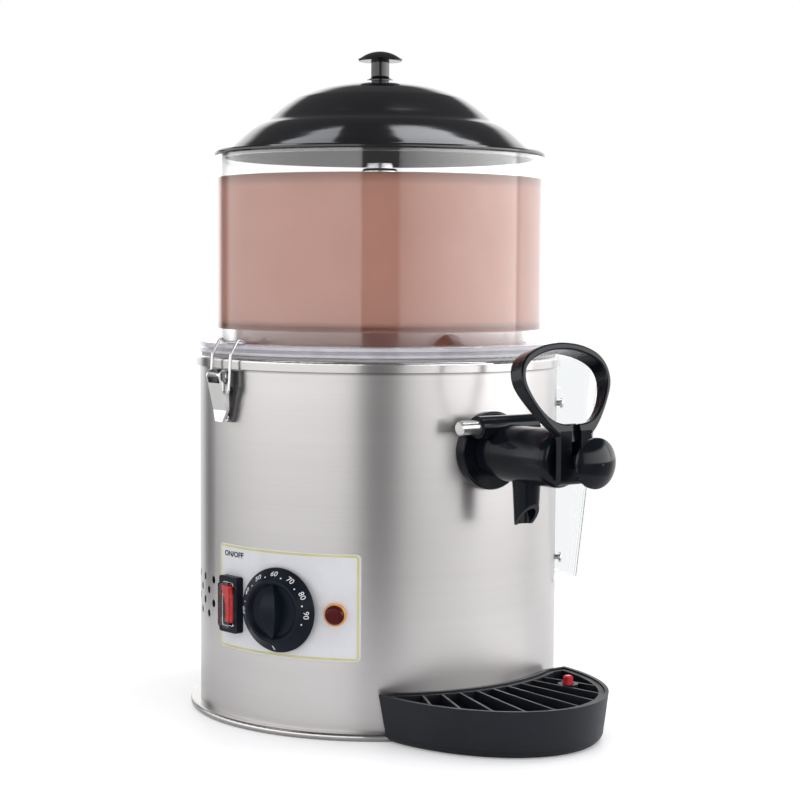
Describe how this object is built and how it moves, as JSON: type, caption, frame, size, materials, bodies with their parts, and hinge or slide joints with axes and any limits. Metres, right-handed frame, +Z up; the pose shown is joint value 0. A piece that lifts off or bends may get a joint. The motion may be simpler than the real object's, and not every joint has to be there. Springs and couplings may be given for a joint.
{
  "type": "hot chocolate dispenser",
  "caption": "Counter-top hot chocolate dispenser with clear bowl, steel body, black lever tap, drip tray, latches and a dial.",
  "frame": {"origin": "on the body's vertical axis at the floor, in the flat underside of the base plate", "axes": "+Z up, -Y to the front where the tap points, +X to the right for someone who faces the tap"},
  "size_m": [0.2838, 0.3843, 0.4615],
  "materials": {
    "brushed_steel": "fine brushing round the body, satin",
    "bright_steel": "polished",
    "clear_plastic": "clear, smooth",
    "gloss_black": "smooth, glossy",
    "matte_black": "fine grain, satin",
    "panel_white": "printed plate, satin",
    "signal_red": "smooth, slightly translucent",
    "amber_ring": "smooth",
    "black_rubber": "matt",
    "clear_rubber": "translucent silicone",
    "plain_brass": "plain turned",
    "grey_paint": "satin paint"
  },
  "bodies": {
    "machine": {"body_shell": "brushed_steel", "water_tank": "brushed_steel", "base_plate": "brushed_steel", "base_ring": "bright_steel", "left_latch_plate": "bright_steel", "right_latch_plate": "bright_steel", "latch_pins": "bright_steel", "latch_rivets": "bright_steel", "gauge_screws": "bright_steel", "base_screws": "bright_steel", "motor_screws": "bright_steel", "tap_spring": "bright_steel", "heating_element": "bright_steel", "thermostat_bulb": "bright_steel", "bowl": "clear_plastic", "water_gauge": "clear_plastic", "switch_cover": "clear_plastic", "outlet_spigot": "gloss_black", "tap_body": "gloss_black", "tap_cap": "gloss_black", "switch_bezel": "matte_black", "switch_body": "matte_black", "thermostat": "matte_black", "cord_gland": "matte_black", "control_plate": "panel_white", "terminal_block": "panel_white", "lamp_lens": "signal_red", "lamp_body": "amber_ring", "outlet_sleeve": "black_rubber", "bowl_gasket": "clear_rubber", "element_nuts": "plain_brass", "panel_nuts": "plain_brass", "water_probe": "plain_brass", "shaft_bush": "plain_brass", "gauge_pipe": "plain_brass", "motor": "grey_paint", "gearbox": "grey_paint", "motor_bracket": "grey_paint"},
    "lid": {"lid": "gloss_black", "lid_knob": "gloss_black", "lid_knob_screw": "bright_steel"},
    "agitator": {"drive_shaft": "bright_steel", "stirrer": "bright_steel", "stirrer_cap": "bright_steel"},
    "handle": {"tap_handle": "gloss_black"},
    "plunger": {"tap_plunger": "gloss_black", "valve_seal": "black_rubber", "piston_seal": "black_rubber", "tap_ball": "gloss_black"},
    "pin": {"tap_pin": "bright_steel"},
    "tray": {"drip_tray": "matte_black"},
    "grille": {"drip_grille": "matte_black"},
    "float": {"tray_float": "signal_red"},
    "left_lever": {"left_latch_lever": "bright_steel"},
    "left_bail": {"left_latch_bail": "bright_steel"},
    "right_lever": {"right_latch_lever": "bright_steel"},
    "right_bail": {"right_latch_bail": "bright_steel"},
    "rocker": {"switch_rocker": "signal_red"},
    "dial": {"thermostat_knob": "gloss_black", "thermostat_spindle": "bright_steel"}
  },
  "joints": [
    {"name": "lid_lift", "type": "slide", "parent": "machine", "child": "lid", "axis": [0, 0, 1], "range_m": [0, 0.12]},
    {"name": "stirrer_turn", "type": "hinge", "parent": "machine", "child": "agitator", "pos_m": [0, 0, 0.366], "axis": [0, 0, 1], "continuous": true},
    {"name": "tap_tip", "type": "hinge", "parent": "machine", "child": "handle", "pos_m": [0, -0.2049, 0.176], "axis": [1, 0, 0], "range_deg": [0, 25], "stiffness_Nm_per_rad": 0.3, "springref_deg": -18.91},
    {"name": "tap_open", "type": "slide", "parent": "machine", "child": "plunger", "axis": [0, -1, 0], "range_m": [0, 0.0083], "deforming": ["tap_spring"]},
    {"name": "pin_draw", "type": "slide", "parent": "machine", "child": "pin", "axis": [-1, 0, 0], "range_m": [0, 0.066]},
    {"name": "tray_slide", "type": "slide", "parent": "machine", "child": "tray", "axis": [0, -1, 0], "range_m": [0, 0.12]},
    {"name": "grille_lift", "type": "slide", "parent": "tray", "child": "grille", "axis": [0, 0, 1], "range_m": [0, 0.05]},
    {"name": "float_rise", "type": "slide", "parent": "tray", "child": "float", "axis": [0, 0, 1], "range_m": [0, 0.009]},
    {"name": "left_latch", "type": "hinge", "parent": "machine", "child": "left_lever", "pos_m": [-0.13395, -0.00351, 0.2365], "axis": [-0.0262, 0.9997, 0], "range_deg": [0, 150]},
    {"name": "left_bail_swing", "type": "hinge", "parent": "left_lever", "child": "left_bail", "pos_m": [-0.13395, -0.00351, 0.225], "axis": [-0.0262, 0.9997, 0], "range_deg": [-170, 0]},
    {"name": "right_latch", "type": "hinge", "parent": "machine", "child": "right_lever", "pos_m": [0.13395, -0.00351, 0.2365], "axis": [-0.0262, -0.9997, 0], "range_deg": [0, 150]},
    {"name": "right_bail_swing", "type": "hinge", "parent": "right_lever", "child": "right_bail", "pos_m": [0.13395, -0.00351, 0.225], "axis": [-0.0262, -0.9997, 0], "range_deg": [-170, 0]},
    {"name": "switch_rock", "type": "hinge", "parent": "machine", "child": "rocker", "pos_m": [-0.12931, -0.01131, 0.0824], "axis": [0.0872, -0.9962, 0], "range_deg": [-16, 0]},
    {"name": "dial_turn", "type": "hinge", "parent": "machine", "child": "dial", "pos_m": [-0.12059, -0.05369, 0.0832], "axis": [0.9135, 0.4067, 0], "range_deg": [0, 270]}
  ],
  "couplings": [
    {"joint": "tap_open", "follows": "tap_tip", "m_per_rad": 0.0182},
    {"joint": "left_bail_swing", "follows": "left_latch", "ratio": -1.12},
    {"joint": "right_bail_swing", "follows": "right_latch", "ratio": -1.12}
  ]
}
